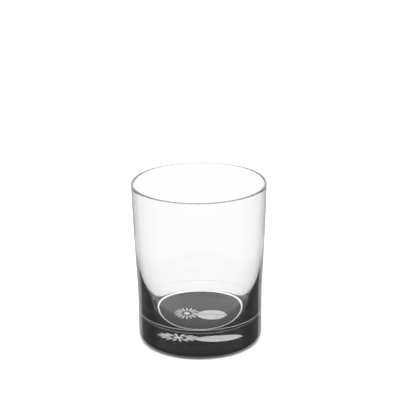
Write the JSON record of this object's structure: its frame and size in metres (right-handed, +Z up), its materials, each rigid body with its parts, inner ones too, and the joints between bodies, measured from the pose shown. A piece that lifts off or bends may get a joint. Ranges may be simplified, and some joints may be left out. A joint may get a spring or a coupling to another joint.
{
  "type": "whiskey tumbler",
  "caption": "Round crystal whisky tumbler: clear thin-walled cup on a heavy clear floor, fused to a dark smoke-glass foot that it stands on.",
  "frame": {"origin": "middle of the resting plane under the foot", "axes": "+Z up along the tumbler's axis; the tumbler is round about Z, and the cut ornament's long side lies along X"},
  "size_m": [0.0818, 0.0818, 0.1],
  "materials": {
    "clear_crystal": "polished, clear, fire-polished rim",
    "smoke_glass": "polished, very dark grey, with a wheel-cut ornament left frosted at the seam"
  },
  "bodies": {
    "root": {"clear_bowl": "clear_crystal", "smoke_base": "smoke_glass"}
  },
  "joints": []
}
